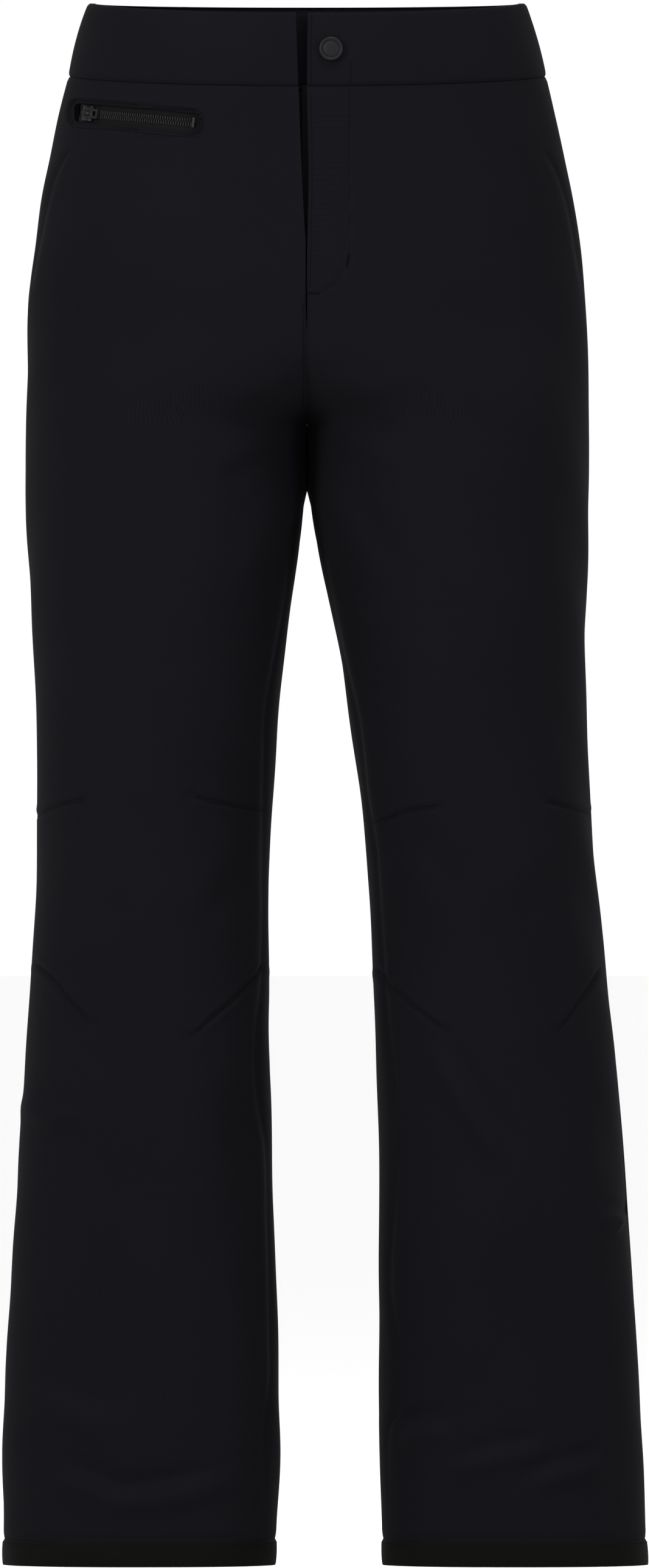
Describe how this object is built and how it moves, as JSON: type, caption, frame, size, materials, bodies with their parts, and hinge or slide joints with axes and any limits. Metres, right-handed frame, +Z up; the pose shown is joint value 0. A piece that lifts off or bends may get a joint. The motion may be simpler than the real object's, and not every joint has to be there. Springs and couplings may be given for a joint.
{
  "type": "ski pants",
  "caption": "Full-length ski pants with shaped knees, a snapped and zipped fly, a zipped front pocket, slanted hand pockets, bound hems and inner boot gaiters.",
  "frame": {"origin": "centre of the waist opening, level with the back of the waist edge", "axes": "+Z up towards the wearer's head, -Y the way the wearer faces, +X towards the wearer's left"},
  "size_m": [0.4348, 0.2462, 1.05],
  "materials": {
    "shell_cloth": "matt laminated stretch twill, blue-black",
    "lining": "matt thin lining cloth",
    "binding": "matt tightly woven hem binding, neutral black",
    "elastic": "ribbed knitted elastic, olive-black",
    "zip_tape": "matt woven zip tape",
    "zip_coil": "satin nylon coil",
    "zip_metal": "painted die-cast metal, satin",
    "snap_cap": "matt dark lacquered cap",
    "snap_metal": "dark lacquered brass",
    "thread": "polyester thread"
  },
  "bodies": {
    "pelvis": {"waistband_front_right": "shell_cloth", "waistband_front_left": "shell_cloth", "waistband_back": "shell_cloth", "waistband_facing_right": "lining", "waistband_facing_left": "lining", "waistband_facing_back": "lining", "side_elastic_right": "elastic", "side_elastic_left": "elastic", "front_panel_right_hip": "shell_cloth", "front_panel_right_groin": "shell_cloth", "back_panel_right_hip": "shell_cloth", "back_panel_right_groin": "shell_cloth", "front_panel_left_hip": "shell_cloth", "front_panel_left_groin": "shell_cloth", "back_panel_left_hip": "shell_cloth", "back_panel_left_groin": "shell_cloth", "waistband_tab": "shell_cloth", "fly_underlap": "lining", "fly_facing": "lining", "snap_stud": "snap_metal", "snap_post": "snap_metal", "pocket_zip_tape": "zip_tape", "pocket_zip_coil": "zip_coil", "pocket_end_stop": "zip_metal", "pocket_welt": "shell_cloth", "fly_zip_tape": "zip_tape", "fly_zip_coil": "zip_coil", "fly_end_stop": "zip_metal", "hand_pocket_bag_right": "lining", "hand_pocket_bag_left": "lining", "pocket_bag": "lining", "fly_bar_tack": "thread"},
    "fly_flap": {"fly_flap": "shell_cloth", "waistband_overlap": "shell_cloth", "snap_cap": "snap_cap", "snap_socket": "snap_metal"},
    "pocket_slider": {"pocket_slider": "zip_metal"},
    "pocket_pull": {"pocket_pull": "zip_metal"},
    "fly_slider": {"fly_slider": "zip_metal"},
    "thigh_right": {"front_panel_right_thigh": "shell_cloth", "back_panel_right_thigh": "shell_cloth", "front_panel_right_knee": "shell_cloth", "back_panel_right_knee": "shell_cloth"},
    "shin_right": {"front_panel_right_shin": "shell_cloth", "back_panel_right_shin": "shell_cloth", "hem_binding_right": "binding", "gaiter_right": "lining", "gaiter_elastic_right": "elastic"},
    "thigh_left": {"front_panel_left_thigh": "shell_cloth", "back_panel_left_thigh": "shell_cloth", "front_panel_left_knee": "shell_cloth", "back_panel_left_knee": "shell_cloth"},
    "shin_left": {"front_panel_left_shin": "shell_cloth", "back_panel_left_shin": "shell_cloth", "hem_binding_left": "binding", "gaiter_left": "lining", "gaiter_elastic_left": "elastic"}
  },
  "joints": [
    {"name": "fly_fold", "type": "hinge", "parent": "pelvis", "child": "fly_flap", "pos_m": [0.00603, -0.11405, -0.195], "axis": [0.2069, 0.0767, 0.9753], "range_deg": [0, 70]},
    {"name": "pocket_zip_travel", "type": "hinge", "parent": "pelvis", "child": "pocket_slider", "pos_m": [-0.0458, 0.03791, -0.08495], "axis": [0.098, -0.0032, 0.9952], "range_deg": [0, 32.9]},
    {"name": "pocket_pull_swing", "type": "hinge", "parent": "pocket_slider", "child": "pocket_pull", "pos_m": [-0.14935, -0.05067, -0.07481], "axis": [-0.1533, -0.0443, -0.9872], "range_deg": [0, 150]},
    {"name": "fly_zip_travel", "type": "slide", "parent": "pelvis", "child": "fly_slider", "axis": [0.0002, -0.0569, -0.9984], "range_m": [0, 0.10181]},
    {"name": "hip_right", "type": "hinge", "parent": "pelvis", "child": "thigh_right", "pos_m": [0, 0.015, -0.245], "axis": [-1, 0, 0], "range_deg": [0, 60], "deforming": ["front_panel_right_groin", "back_panel_right_groin"]},
    {"name": "knee_right", "type": "hinge", "parent": "thigh_right", "child": "shin_right", "pos_m": [0, -0.005, -0.584], "axis": [1, 0, 0], "range_deg": [0, 60], "deforming": ["front_panel_right_knee", "back_panel_right_knee"]},
    {"name": "hip_left", "type": "hinge", "parent": "pelvis", "child": "thigh_left", "pos_m": [0, 0.015, -0.245], "axis": [-1, 0, 0], "range_deg": [0, 60], "deforming": ["front_panel_left_groin", "back_panel_left_groin"]},
    {"name": "knee_left", "type": "hinge", "parent": "thigh_left", "child": "shin_left", "pos_m": [0, -0.005, -0.584], "axis": [1, 0, 0], "range_deg": [0, 60], "deforming": ["front_panel_left_knee", "back_panel_left_knee"]}
  ]
}
